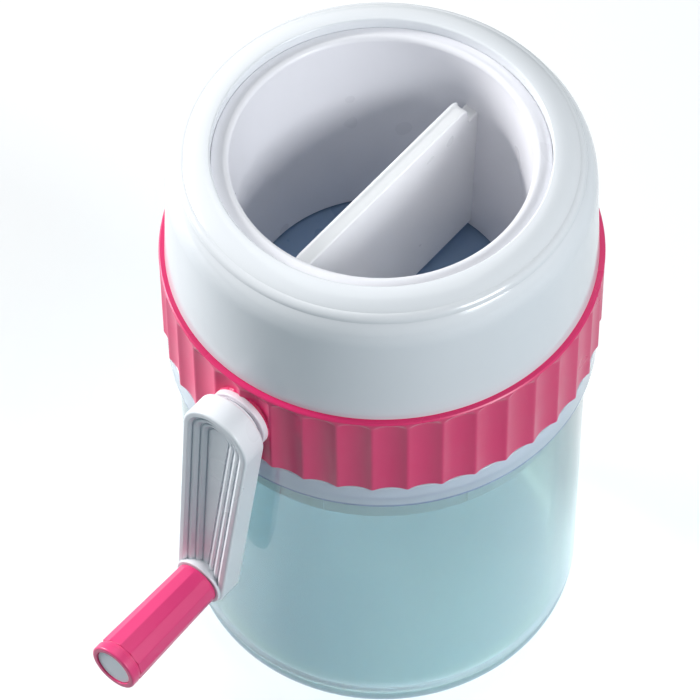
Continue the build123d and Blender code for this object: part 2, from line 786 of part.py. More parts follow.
export_step(crank_arm.part, "parts/crank_arm.step")

# ---------------------------------------------------------------- knob
with BuildPart() as knob_washer:
    with BuildSketch(knob_plane(arm_face_y)):
        Circle(knob_washer_r)
        Circle(spindle_r + shaft_gap, mode=Mode.SUBTRACT)
    extrude(amount=knob_washer_thickness)
knob_washer.part.label = "knob_washer"
export_step(knob_washer.part, "parts/knob_washer.step")

with BuildPart() as knob_spindle:
    with BuildSketch(knob_plane(arm_face_y - spindle_seat)):
        Circle(spindle_r)
    extrude(amount=spindle_shoulder_y - arm_face_y + spindle_seat)
    with BuildSketch(knob_plane(spindle_shoulder_y)):
        Circle(spindle_head_r)
    extrude(amount=spindle_head)
knob_spindle.part.label = "knob_spindle"
export_step(knob_spindle.part, "parts/knob_spindle.step")

with BuildPart() as knob_grip:
    facet_foot_y = knob_base_y + knob_base_disc
    facet_end_y = knob_rim_y - knob_groove
    with BuildSketch(knob_plane(facet_foot_y)):
        RegularPolygon(knob_base_r, knob_sides)
    with BuildSketch(knob_plane(facet_end_y)):
        RegularPolygon(knob_end_r, knob_sides)
    loft(ruled=True)
    with BuildSketch(knob_plane(knob_base_y)):
        Circle(knob_base_r)
    extrude(amount=knob_base_disc)
    with BuildSketch(knob_plane(facet_end_y)):
        Circle(knob_end_r - knob_groove_depth)
    extrude(amount=knob_groove)
    with BuildSketch(knob_plane(knob_rim_y)):
        Circle(knob_end_r)
    extrude(amount=knob_rim_width)
    fillet(knob_grip.faces().sort_by(Axis.Y)[0].edges(), knob_rim_round)
    with BuildSketch(knob_plane(knob_end_y)):
        Circle(knob_cap_r + snap_gap)
    extrude(amount=cap_seat_y - knob_end_y, mode=Mode.SUBTRACT)
    with BuildSketch(knob_plane(cap_seat_y)):
        Circle(spindle_head_r + turn_gap)
    extrude(amount=spindle_shoulder_y - end_gap - cap_seat_y, mode=Mode.SUBTRACT)
    with BuildSketch(knob_plane(knob_base_y)):
        Circle(spindle_r + spindle_gap)
    extrude(amount=knob_length, mode=Mode.SUBTRACT)
knob_grip.part.label = "knob_grip"
export_step(knob_grip.part, "parts/knob_grip.step")

with BuildPart() as knob_cap:
    with BuildSketch(knob_plane(cap_seat_y)):
        Circle(knob_cap_r)
    extrude(amount=knob_cap_thickness)
knob_cap.part.label = "knob_cap"
export_step(knob_cap.part, "parts/knob_cap.step")
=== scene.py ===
"""Looks of a hand crank ice crusher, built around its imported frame.

Every length is in metres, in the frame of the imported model: the origin is the centre of the cup's
underside, +Z is up and the crank comes out along -Y.
"""

from __future__ import annotations

import logging
import math
from dataclasses import dataclass
from enum import Enum
from typing import Callable, ClassVar, NamedTuple, Sequence

import bmesh
import bpy
from mathutils import Matrix, Vector

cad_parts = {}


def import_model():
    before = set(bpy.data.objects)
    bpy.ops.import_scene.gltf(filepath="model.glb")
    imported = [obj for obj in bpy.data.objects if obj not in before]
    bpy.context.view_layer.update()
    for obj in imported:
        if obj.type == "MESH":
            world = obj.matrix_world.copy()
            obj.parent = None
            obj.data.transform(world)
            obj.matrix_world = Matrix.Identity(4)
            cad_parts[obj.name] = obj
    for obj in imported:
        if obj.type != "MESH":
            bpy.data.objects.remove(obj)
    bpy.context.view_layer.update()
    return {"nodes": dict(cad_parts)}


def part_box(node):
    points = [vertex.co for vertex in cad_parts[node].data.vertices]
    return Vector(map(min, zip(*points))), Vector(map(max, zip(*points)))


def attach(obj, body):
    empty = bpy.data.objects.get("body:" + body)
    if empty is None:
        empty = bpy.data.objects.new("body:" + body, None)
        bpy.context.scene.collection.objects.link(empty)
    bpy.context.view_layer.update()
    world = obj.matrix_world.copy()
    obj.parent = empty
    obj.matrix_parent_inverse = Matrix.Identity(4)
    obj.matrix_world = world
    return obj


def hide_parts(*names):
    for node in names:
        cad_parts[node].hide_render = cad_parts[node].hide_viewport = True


MM = 0.001
PHOTO_PX = 700
SENSOR_MM = 36.0
ARC_STEPS = 8
SHARP_ANGLE = math.radians(40.0)
WHITE = (1.0, 1.0, 1.0)
HOOD_HEIGHT = 42.2 * MM
PLASTIC_IOR = 1.49
NOISE_MIDDLE = (0.3, 0.7)
CLOUD_DETAIL = 3.0
SHARES = (0.0, 1.0)
SEEN_RAYS = ("Is Camera Ray", "Is Glossy Ray", "Is Transmission Ray")

Colour = tuple[float, float, float]
Point = tuple[float, float]
Shape = Callable[[float, float, float], float]
Socket = bpy.types.NodeSocket

log = logging.getLogger("ice_crusher")


# ---------------------------- finishes


class Polish(Enum):
    """How a moulded surface left its tool: its mean roughness and how far it waves."""

    GLOSSY = (0.16, 0.04)
    SATIN = (0.32, 0.06)
    MATTE = (0.5, 0.1)

    def __init__(self, roughness: float, waves: float) -> None:
        """Names the two numbers."""
        self.roughness = roughness
        self.waves = waves


class Grain(Enum):
    """How far the tool marks on a metal piece are drawn out along X, Y and Z."""

    ALONG_X = (0.04, 1.0, 1.0)
    TURNED = WHITE


class NodeTable:
    """A short way to write the node tree of a material or of the world."""

    def __init__(self, owner: bpy.types.Material | bpy.types.World) -> None:
        """Starts an empty tree with an output node.

        Args:
            owner: The material or world that the tree belongs to.
        """
        owner.use_nodes = True
        self.tree = owner.node_tree
        self.tree.nodes.clear()
        kind = "World" if isinstance(owner, bpy.types.World) else "Material"
        self.output = self.add(f"Output{kind}")

    def add(
        self, kind: str, inputs: dict[str | int, object] | None = None, **settings: object
    ) -> bpy.types.Node:
        """Adds a node.

        Args:
            kind: The node type's name, without its first part.
            inputs: What its input sockets take, as in fill.
            **settings: Property values of the node.

        Returns:
            The new node.
        """
        node = self.tree.nodes.new(f"ShaderNode{kind}")
        for key, value in settings.items():
            setattr(node, key, value)
        self.fill(node, inputs or {})
        return node

    def fill(self, node: bpy.types.Node, inputs: dict[str | int, object]) -> None:
        """Fills input sockets of a node.

        Args:
            node: The node.
            inputs: For each input socket, a fixed value or the output socket that feeds it.
        """
        for name, source in inputs.items():
            if isinstance(source, Socket):
                self.tree.links.new(source, node.inputs[name])
            else:
                node.inputs[name].default_value = source

    def show(self, surface: Socket) -> None:
        """Gives a shader to the tree's output."""
        self.fill(self.output, {"Surface": surface})

    def place(self, stretch: Sequence[float] = WHITE) -> Socket:
        """The object's own coordinates, stretched along X, Y and Z."""
        coordinates = self.add("TexCoord").outputs["Object"]
        return self.add("Mapping", {"Scale": stretch, "Vector": coordinates}).outputs["Vector"]

    def noise(
        self, scale: float, detail: float = 1.0, stretch: Sequence[float] = WHITE
    ) -> Socket:
        """Noise in the object's own coordinates.

        Args:
            scale: Lumps per metre.
            detail: Octaves of finer noise.
            stretch: Scale of the coordinates along X, Y and Z.

        Returns:
            The noise's value socket.
        """
        inputs = {"Scale": scale, "Detail": detail, "Vector": self.place(stretch)}
        return self.add("TexNoise", inputs).outputs["Fac"]

    def ranged(self, value: Socket, start: Point, result: Point = SHARES) -> Socket:
        """Maps a value from one range to another and holds it there.

        Args:
            value: The value.
            start: The range that the value comes in.
            result: The range that it is mapped to.

        Returns:
            The mapped value's socket.
        """
        inputs = {"Value": value, "From Min": start[0], "From Max": start[1]}
        inputs |= {"To Min": result[0], "To Max": result[1]}
        return self.add("MapRange", inputs).outputs["Result"]

    def worn(self, mean: float, wear: Point, marks: Socket) -> Socket:
        """A roughness that varies over the surface.

        Args:
            mean: The mean roughness.
            wear: The least and the most of it, as shares.
            marks: The noise that it follows.

        Returns:
            The roughness's socket.
        """
        return self.ranged(marks, NOISE_MIDDLE, (mean * wear[0], mean * wear[1]))

    def coloured(self, share: Socket, below: Socket | Colour, above: Colour) -> Socket:
        """Lays a colour over another one.

        Args:
            share: The share of the colour laid over it.
            below: The colour under it, or its socket.
            above: The colour laid over it.

        Returns:
            The colour socket.
        """
        under = below if isinstance(below, Socket) else (*below, 1.0)
        inputs = {"Factor": share, "A": under, "B": (*above, 1.0)}
        return self.add("Mix", inputs, data_type="RGBA").outputs["Result"]

    def mottled(self, colour: Colour, change: float, scale: float) -> Socket:
        """A colour that varies faintly over the surface.

        Args:
            colour: The mean colour.
            change: How far it varies, as a share.
            scale: Lumps per metre.

        Returns:
            The colour socket.
        """
        clouds = self.ranged(self.noise(scale, CLOUD_DETAIL), NOISE_MIDDLE)
        return self.coloured(clouds, shaded(colour, 1.0 - change), shaded(colour, 1.0 + change))

    def relief(self, height: Socket, strength: float, depth: float) -> Socket:
        """A bump normal from a height.

        Args:
            height: The height, from 0 to 1.
            strength: How much of the bump shows.
            depth: The height of 1, in metres.

        Returns:
            The normal's socket.
        """
        inputs = {"Strength": strength, "Distance": depth, "Height": height}
        return self.add("Bump", inputs).outputs["Normal"]

    def rays(self, *kinds: str) -> Socket:
        """Whether a ray is of one of the kinds that Light Path names.

        Args:
            *kinds: Names of Light Path's outputs.

        Returns:
            A socket that is 1 for these rays and 0 for others.
        """
        path = self.add("LightPath")
        found = path.outputs[kinds[0]]
        for kind in kinds[1:]:
            either = self.add("Math", {0: found, 1: path.outputs[kind]}, operation="MAXIMUM")
            found = either.outputs["Value"]
        return found

    def mixed(self, share: Socket, first: bpy.types.Node, second: bpy.types.Node) -> Socket:
        """Mixes two shaders.

        Args:
            share: The share of the second shader.
            first: The first shader's node.
            second: The second shader's node.

        Returns:
            The mixed shader's socket.
        """
        inputs = {"Fac": share, 1: first.outputs[0], 2: second.outputs[0]}
        return self.add("MixShader", inputs).outputs["Shader"]


def shaded(colour: Colour, share: float) -> Colour:
    """A colour multiplied by a share and held at white."""
    return tuple(min(1.0, part * share) for part in colour)


@dataclass(frozen=True)
class Finish:
    """What every finish has: a name and a way to make its material."""

    name: str

    def material(self) -> bpy.types.Material:
        """Makes the finish's material, or finds the one made before.

        Returns:
            The material.
        """
        made = bpy.data.materials.get(self.name)
        if made is None:
            made = bpy.data.materials.new(self.name)
            table = NodeTable(made)
            table.show(self.surface(table, table.add("BsdfPrincipled")))
        return made

    def surface(self, table: NodeTable, shader: bpy.types.Node) -> Socket:
        """Sets the shader up.

        Args:
            table: The material's nodes.
            shader: The material's principled shader.

        Returns:
            The shader socket that the surface shows.
        """
        raise NotImplementedError


@dataclass(frozen=True)
class MouldedPlastic(Finish):
    """Opaque moulded plastic with a faint mottle, an uneven gloss and slow waves."""

    colour: Colour
    polish: Polish
    mottle: float
    glow: float = 0.0
    glow_depth: float = 2.0 * MM
    lumps: float = 35.0
    marks: float = 60.0
    wear: Point = (0.85, 1.2)
    waves: float = 45.0
    wave_height: float = 0.5 * MM

    def surface(self, table: NodeTable, shader: bpy.types.Node) -> Socket:
        """Sets up the plastic's colour, gloss, waves and glow, as in Finish."""
        marks = table.noise(self.marks)
        waves = table.noise(self.waves)
        inputs = {
            "Base Color": table.mottled(self.colour, self.mottle, self.lumps),
            "Roughness": table.worn(self.polish.roughness, self.wear, marks),
            "Normal": table.relief(waves, self.polish.waves, self.wave_height),
            "IOR": PLASTIC_IOR,
            "Subsurface Weight": self.glow,
            "Subsurface Scale": self.glow_depth,
            "Subsurface Radius": WHITE,
        }
        table.fill(shader, inputs)
        return shader.outputs["BSDF"]


class PaintedBand(NamedTuple):
    """A painted band round a clear piece, pale for a painted highlight and dark for painted shade,
    with half of its width.
    """

    height: float
    half_width: float
    tint: Colour


@dataclass(frozen=True)
class ClearPlastic(Finish):
    """Clear moulded plastic with a faint haze, which lets lamps shine through it.

    Attributes:
        tint: The colour that the surface gives to what is seen through it.
        painted_edge_shade: Painted shade: the darker colour where the surface is seen from the
            side.
        clearness: The share of the light that passes unscattered.
        haze: The mean roughness.
        lamp_tint: The colour of the lamp light that comes through.
        painted_bands: Bands of painted highlight and painted shade round the piece.
        milky_above: The height above which the piece is milky.
        milk: The milky part's colour.
        milky_clearness: The milky part's clearness.
        milk_fade: The height over which the milky part begins.
        side: Where the painted edge shade begins and is full, from 0 facing the eye to 1 edge on.
        mottle, lumps: How far the colour varies, as a share, and its lumps per metre.
        marks, wear: The lumps per metre of the roughness, with its least and most as shares.
        flow, flow_height: The strength and the height of the slow waves in the surface.
        flow_lumps, flow_stretch: The waves per metre, and their scale along X, Y and Z.
    """

    tint: Colour
    painted_edge_shade: Colour
    clearness: float
    haze: float
    lamp_tint: Colour
    painted_bands: tuple[PaintedBand, ...]
    milky_above: float
    milk: Colour
    milky_clearness: float
    milk_fade: float = 0.8 * MM
    side: Point = (0.5, 0.8)
    mottle: float = 0.015
    lumps: float = 18.0
    marks: float = 60.0
    wear: Point = (0.7, 1.4)
    flow: float = 0.05
    flow_height: float = 1.0 * MM
    flow_lumps: float = 22.0
    flow_stretch: tuple[float, float, float] = (1.0, 1.0, 0.3)

    def surface(self, table: NodeTable, shader: bpy.types.Node) -> Socket:
        """Sets up the clear and the milky part, the painted edge shade and the painted bands, as in
        Finish.
        """
        height = table.add("SeparateXYZ", {"Vector": table.place()}).outputs["Z"]
        milky = table.ranged(height, (self.milky_above, self.milky_above + self.milk_fade))
        # Painted shade: the colour turns darker and bluer where the surface is seen edge on.
        aside = table.ranged(table.add("LayerWeight").outputs["Facing"], self.side)
        colour = table.mottled(self.tint, self.mottle, self.lumps)
        colour = table.coloured(aside, colour, self.painted_edge_shade)
        colour = table.coloured(milky, colour, self.milk)
        # Painted bands at fixed heights: pale ones are painted highlights, dark ones are painted
        # shade lines.
        for band in self.painted_bands:
            away = table.add("Math", {0: height, 1: band.height}, operation="SUBTRACT")
            gap = table.add("Math", {0: away.outputs["Value"]}, operation="ABSOLUTE")
            near = table.ranged(gap.outputs["Value"], (0.0, band.half_width), (1.0, 0.0))
            colour = table.coloured(near, colour, band.tint)
        flow = table.noise(self.flow_lumps, stretch=self.flow_stretch)
        passing = (self.clearness, self.milky_clearness)
        inputs = {
            "Base Color": colour,
            "Roughness": table.worn(self.haze, self.wear, table.noise(self.marks)),
            "Normal": table.relief(flow, self.flow, self.flow_height),
            "Transmission Weight": table.ranged(milky, SHARES, passing),
            "IOR": PLASTIC_IOR,
        }
        table.fill(shader, inputs)
        lamp_light = table.add("BsdfTransparent", {"Color": (*self.lamp_tint, 1.0)})
        return table.mixed(table.rays("Is Shadow Ray"), shader, lamp_light)


@dataclass(frozen=True)
class Steel(Finish):
    """Worked steel with the marks of its tool."""

    colour: Colour
    grain: Grain
    roughness: float
    mottle: float = 0.07
    lumps: float = 90.0
    marks: float = 2200.0
    wear: Point = (0.75, 1.35)
    cut: float = 0.12
    cut_depth: float = 0.05 * MM

    def surface(self, table: NodeTable, shader: bpy.types.Node) -> Socket:
        """Sets up the metal and its tool marks, as in Finish."""
        marks = table.noise(self.marks, CLOUD_DETAIL, self.grain.value)
        inputs = {
            "Metallic": 1.0,
            "Base Color": table.mottled(self.colour, self.mottle, self.lumps),
            "Roughness": table.worn(self.roughness, self.wear, marks),
            "Normal": table.relief(marks, self.cut, self.cut_depth),
        }
        table.fill(shader, inputs)
        return shader.outputs["BSDF"]


WHITE_SHELL = MouldedPlastic("white_shell", (0.84, 0.86, 0.89), Polish.GLOSSY, 0.008, 0.1)
WHITE_HOPPER = MouldedPlastic("white_hopper", (0.9, 0.89, 0.93), Polish.SATIN, 0.01)
# Painted light: a brighter copy of the white plastic that stands in for the light the ice cubes
# throw onto the vane.
LIT_WHITE_VANE = MouldedPlastic("lit_white_vane", (0.95, 0.95, 0.96), Polish.SATIN, 0.01)
WHITE_ARM = MouldedPlastic("white_arm", (0.86, 0.88, 0.91), Polish.SATIN, 0.012)
WHITE_BEARING = MouldedPlastic("white_bearing", (0.83, 0.84, 0.88), Polish.SATIN, 0.015, 0.1)
PINK_RING = MouldedPlastic("pink_ring", (0.76, 0.02, 0.15), Polish.SATIN, 0.025, 0.05)
PINK_KNOB = MouldedPlastic("pink_knob", (0.8, 0.045, 0.2), Polish.SATIN, 0.025, 0.05)
GEAR_PLASTIC = MouldedPlastic("gear_plastic", (0.75, 0.74, 0.7), Polish.MATTE, 0.05)
SLIDE_PLASTIC = MouldedPlastic("slide_plastic", (0.06, 0.06, 0.065), Polish.MATTE, 0.1)
MILKY_CHASSIS = MouldedPlastic(
    "milky_chassis", (0.24, 0.35, 0.52), Polish.SATIN, 0.015, 0.3, 4.0 * MM
)
GROUND_STEEL = Steel("ground_steel", (0.62, 0.63, 0.65), Grain.ALONG_X, 0.28)
TURNED_STEEL = Steel("turned_steel", (0.56, 0.57, 0.59), Grain.TURNED, 0.32)


# ---------------------------- drawing


class Corner(NamedTuple):
    """A corner of an outline, with the radius that rounds it."""

    across: float
    up: float
    radius: float = 0.0


def even_angles(steps: int) -> list[float]:
    """Evenly spaced angles all round a circle."""
    return [math.tau * step / steps for step in range(steps)]


def arc(centre: Sequence[float], radius: float, angles: Sequence[float]) -> list[Point]:
    """Points round a centre, at the angles given."""
    across, up = centre
    return [(across + radius * math.cos(turn), up + radius * math.sin(turn)) for turn in angles]


def corner_arc(before: Corner, corner: Corner, after: Corner) -> list[Point]:
    """The arc that rounds a corner.

    Args:
        before: The corner before it.
        corner: The corner.
        after: The corner after it.

    Returns:
        Points along the arc.
    """
    here = Vector(corner[:2])
    back = (Vector(before[:2]) - here).normalized()
    onward = (Vector(after[:2]) - here).normalized()
    half = back.angle(onward) / 2.0
    centre = here + (back + onward).normalized() * corner.radius / math.sin(half)
    start = here + back * corner.radius / math.tan(half) - centre
    end = here + onward * corner.radius / math.tan(half) - centre
    first = math.atan2(start.y, start.x)
    sweep = math.remainder(math.atan2(end.y, end.x) - first, math.tau)
    angles = [first + sweep * step / ARC_STEPS for step in range(ARC_STEPS + 1)]
    return arc(centre, corner.radius, angles)


def rounded(corners: Sequence[Corner], closed: bool = True) -> list[Point]:
    """Turns corners into points, with an arc at every corner that has a radius.

    Args:
        corners: The outline's corners in order.
        closed: Whether the outline returns to its first corner.

    Returns:
        The outline's points.
    """
    points: list[Point] = []
    last = len(corners) - 1
    for number, corner in enumerate(corners):
        loose = not closed and number in (0, last)
        if corner.radius == 0.0 or loose:
            points.append(corner[:2])
        else:
            after = corners[(number + 1) % len(corners)]
            points.extend(corner_arc(corners[number - 1], corner, after))
    return points


class Facing(Enum):
    """Which way a drawn piece's axis points: up, or out along the crank."""

    UP = "up"
    OUT = "out"

    def turned(self, across: float, aside: float, along: float) -> Vector:
        """Turns a place beside and along the axis to the model's axes."""
        if self is Facing.UP:
            return Vector((across, aside, along))
        return Vector((across, -along, aside))


class Draft:
    """A mesh that is drawn round an axis and then becomes a piece of the model."""

    def __init__(self, name: str, facing: Facing = Facing.UP, node: str = "") -> None:
        """Starts an empty mesh.

        Args:
            name: The piece's name.
            facing: Which way the axis points.
            node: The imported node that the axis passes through, if it isn't the model's own axis.
        """
        self.name = name
        self.facing = facing
        centre = middle(node) if node else Vector()
        self.foot = Vector((centre.x, 0.0, centre.z))
        self.mesh = bmesh.new()

    def at(self, across: float, aside: float, along: float) -> Vector:
        """A place on the drawing board as a place in the model."""
        return self.foot + self.facing.turned(across, aside, along)

    def skin(self, rings: Sequence[Sequence[Vector]], looped: bool) -> list[list]:
        """Joins rings of points with faces.

        Args:
            rings: Rings with the same number of points each, or with one point for a tip.
            looped: Whether the last ring joins the first.

        Returns:
            The rings' vertices.
        """
        made = [[self.mesh.verts.new(point) for point in ring] for ring in rings]
        for low, high in zip(made, made[1:] + made[:1] if looped else made[1:]):
            count = max(len(low), len(high))
            for here in range(count):
                after = (here + 1) % count
                face = [low[here % len(low)], low[after % len(low)]]
                face += [high[after % len(high)], high[here % len(high)]]
                self.mesh.faces.new(list(dict.fromkeys(face)))
        return made

    def turn(
        self, outline: Sequence[Point], steps: int, looped: bool, shape: Shape | None = None
    ) -> None:
        """Turns an outline round the axis.

        Args:
            outline: Distances from the axis and along it.
            steps: The number of points round the axis.
            looped: Whether the outline returns to its first point.
            shape: The distance from the axis, by the outline's distance, the place along the axis
                and the angle, where the piece isn't round.
        """
        rings = []
        for across, along in outline:
            if across == 0.0:
                rings.append([self.at(0.0, 0.0, along)])
                continue
            ring = []
            for angle in even_angles(steps):
                reach = shape(across, along, angle) if shape else across
                ring.append(self.at(reach * math.cos(angle), reach * math.sin(angle), along))
            rings.append(ring)
        self.skin(rings, looped)

    def stack(self, levels: Sequence[tuple[Sequence[Point], float]]) -> None:
        """Joins outlines at different heights, and closes the first and the last.

        Args:
            levels: Outlines with the same number of points, each with its height on the axis.
        """
        rings = [[self.at(*point, along) for point in outline] for outline, along in levels]
        made = self.skin(rings, looped=False)
        self.mesh.faces.new(made[0])
        self.mesh.faces.new(made[-1])

    def soften(self, width: float) -> None:
        """Rounds the sharp edges over a width."""
        self.mesh.normal_update()
        sharp = [edge for edge in self.mesh.edges if edge.calc_face_angle(0.0) > SHARP_ANGLE]
        rounding = {"segments": ARC_STEPS // 2, "profile": 0.5, "affect": "EDGES"}
        bmesh.ops.bevel(self.mesh, geom=sharp, offset=width, **rounding)

    def piece(self, body: str, slot: str, finish: Finish, *nodes: str) -> None:
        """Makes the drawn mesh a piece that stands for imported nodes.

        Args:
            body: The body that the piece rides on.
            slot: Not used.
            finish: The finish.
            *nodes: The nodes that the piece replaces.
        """
        bmesh.ops.recalc_face_normals(self.mesh, faces=self.mesh.faces)
        data = bpy.data.meshes.new(self.name)
        self.mesh.to_mesh(data)
        self.mesh.free()
        data.shade_smooth()
        data.set_sharp_from_angle(angle=SHARP_ANGLE)
        data.materials.append(finish.material())
        made = placed(self.name, data)
        even = made.modifiers.new("even_normals", "WEIGHTED_NORMAL")
        even.keep_sharp = True
        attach(made, body)
        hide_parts(*nodes)
        log.info("built %s in %s, %d faces", self.name, finish.name, len(data.polygons))


def placed(name: str, data: bpy.types.ID) -> bpy.types.Object:
    """A new object in the scene, with its mesh, lamp or camera."""
    made = bpy.data.objects.new(name, data)
    bpy.context.scene.collection.objects.link(made)
    return made


def middle(node: str) -> Vector:
    """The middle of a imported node's box."""
    low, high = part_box(node)
    return (low + high) / 2.0


# ---------------------------- sub-assemblies


@dataclass
class SubAssembly:
    """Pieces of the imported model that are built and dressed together.

    Attributes:
        nodes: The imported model's nodes by name.
    """

    nodes: dict[str, bpy.types.Object]
    dressed: ClassVar[dict[str, Finish]] = {}

    def build(self) -> None:
        """Builds the sub-assembly's own pieces. Without any, it only dresses its nodes."""

    def dress(self) -> None:
        """Gives the nodes that stay in view their finish."""
        for node, finish in self.dressed.items():
            piece = self.nodes[node]
            material = finish.material()
            if not piece.material_slots:
                piece.data.materials.append(material)
            for held in piece.material_slots:
                held.material = material
            log.info("dressed %s in %s", node, finish.name)


@dataclass
class Cup(SubAssembly):
    """The clear cup with its thick collar, which the head stands on."""

    wall: float = 2.4 * MM
    base: float = 5.0 * MM
    taper: float = 0.4 * MM
    foot_round: float = 10.0 * MM
    well_round: float = 8.0 * MM
    collar_overhang: float = 2.8 * MM
    collar_height: float = 9.3 * MM
    edge_round: float = 0.8 * MM
    rim_round: float = 0.5 * MM
    steps: int = 256

    def build(self) -> None:
        """Builds the cup."""
        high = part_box("cup")[1]
        collar_z = high.z - self.collar_height
        body_r = high.x - self.collar_overhang
        foot_r = body_r - self.taper
        bore_r = foot_r - self.wall
        outline = rounded(
            [
                Corner(0.0, 0.0),
                Corner(foot_r, 0.0, self.foot_round),
                Corner(body_r, collar_z, self.rim_round),
                Corner(high.x, collar_z, self.edge_round),
                Corner(high.x, high.z, self.rim_round),
                Corner(bore_r, high.z, self.rim_round),
                Corner(bore_r, self.base, self.well_round),
                Corner(0.0, self.base),
            ],
            closed=False,
        )
        finish = ClearPlastic(
            "clear_cup",
            tint=(0.57, 0.71, 0.67),
            # Painted shade at the cup's edges, where the wall is seen from the side.
            painted_edge_shade=(0.3, 0.36, 0.43),
            clearness=0.74,
            haze=0.08,
            lamp_tint=(0.88, 0.92, 0.93),
            # Painted bands: a dark blue painted line at the collar's lower edge, pale painted
            # highlights at the well's rounding and inside the base, and a dark blue painted line at
            # the base's top.
            painted_bands=(
                PaintedBand(collar_z + 0.5 * MM, 1.1 * MM, (0.02, 0.1, 0.36)),
                PaintedBand(self.base + self.well_round, 2.5 * MM, (0.8, 0.84, 0.92)),
                PaintedBand(self.base, 1.5 * MM, (0.2, 0.32, 0.52)),
                PaintedBand(self.base / 2, 1.6 * MM, (0.8, 0.86, 0.92)),
            ),
            milky_above=collar_z,
            milk=(0.72, 0.78, 0.86),
            milky_clearness=0.35,
        )
        draft = Draft("clear_cup")
        draft.turn(outline, self.steps, looped=False)
        draft.piece("cup", "cup", finish, "cup")


@dataclass
class FlutedRing(SubAssembly):
    """The pink ring round the gears, with arched flutes and a flat seat for the crank's bush."""

    wall: float = 4.4 * MM
    seat_step: float = 0.9 * MM
    foot_seat: float = 3.0 * MM
    crown_seat: float = 4.0 * MM
    chamfer: float = 0.4 * MM
    foot_round: float = 0.4 * MM
    flutes: int = 40
    depth: float = 1.15 * MM
    land: float = 0.5 * MM
    band: float = 0.3 * MM
    runout: float = 2.5 * MM
    crest_round: float = 0.12 * MM
    row: float = 0.35 * MM
    steps_in_flute: int = 28
    bush_flange: float = 2.0 * MM
    bush_gap: float = 0.1 * MM

    def build(self) -> None:
        """Builds the ring."""
        low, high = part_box("ring_housing")
        reach, foot, crown = high.x, low.z, high.z
        seat_r = reach - self.wall + self.seat_step
        bore_r = reach - self.wall
        shoulder = crown - self.chamfer
        start = foot + self.foot_round
        rows = round((shoulder - start) / self.row)
        row = (shoulder - start) / rows
        face = [Corner(reach, start + row * number) for number in range(2, rows - 1)]
        outline = rounded(
            [
                Corner(seat_r, foot),
                Corner(reach, foot, self.foot_round),
                *face,
                Corner(reach, shoulder, self.foot_round / 2),
                Corner(reach - self.chamfer, crown, self.foot_round / 2),
                Corner(seat_r, crown),
                Corner(seat_r, crown - self.crown_seat),
                Corner(bore_r, crown - self.crown_seat),
                Corner(bore_r, foot + self.foot_seat),
                Corner(seat_r, foot + self.foot_seat),
            ]
        )
        draft = Draft("fluted_ring")
        steps = self.flutes * self.steps_in_flute
        draft.turn(outline, steps, looped=True, shape=self.shape_for(reach, crown))
        draft.piece("head", "ring", PINK_RING, "ring_housing")

    def shape_for(self, reach: float, crown: float) -> Shape:
        """Makes the rule for the ring's outside.

        Args:
            reach: The ring's outer radius.
            crown: The height of the ring's top.

        Returns:
            A function that gives the radius by the outline's radius, the height and the angle.
        """
        pitch = math.tau / self.flutes
        half_width = reach * math.sin(pitch / 2) - self.land / 2
        floor = reach - self.depth
        rise = math.sqrt(reach**2 - half_width**2) - floor
        flute_r = (half_width**2 + rise**2) / (2 * rise)
        centre = floor + flute_r
        flute_top = crown - self.band
        bush_low, bush_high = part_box("crank_bush")
        bush_z = middle("crank_bush").z
        bush_r = bush_high.x - self.bush_gap
        seat = -bush_low.y - self.bush_flange

        def shape(across: float, height: float, angle: float) -> float:
            """The ring's radius at one point of its outside."""
            if across < reach - self.chamfer:
                return across
            facing_crank = -math.sin(angle)
            beside = math.hypot(across * math.cos(angle), height - bush_z)
            if facing_crank > 0 and beside < bush_r:
                return seat / facing_crank
            ended = max(0.0, height - flute_top + self.runout)
            if ended >= self.runout:
                return across
            cutter_r = flute_r - self.runout + math.sqrt(self.runout**2 - ended**2)
            offset = math.remainder(angle + math.pi / 2 + pitch / 2, pitch)
            inside = cutter_r**2 - (centre * math.sin(offset)) ** 2
            surface = centre * math.cos(offset) - math.sqrt(max(inside, 0.0))
            cut = reach - surface
            return across - (cut + math.hypot(cut, self.crest_round)) / 2

        return shape


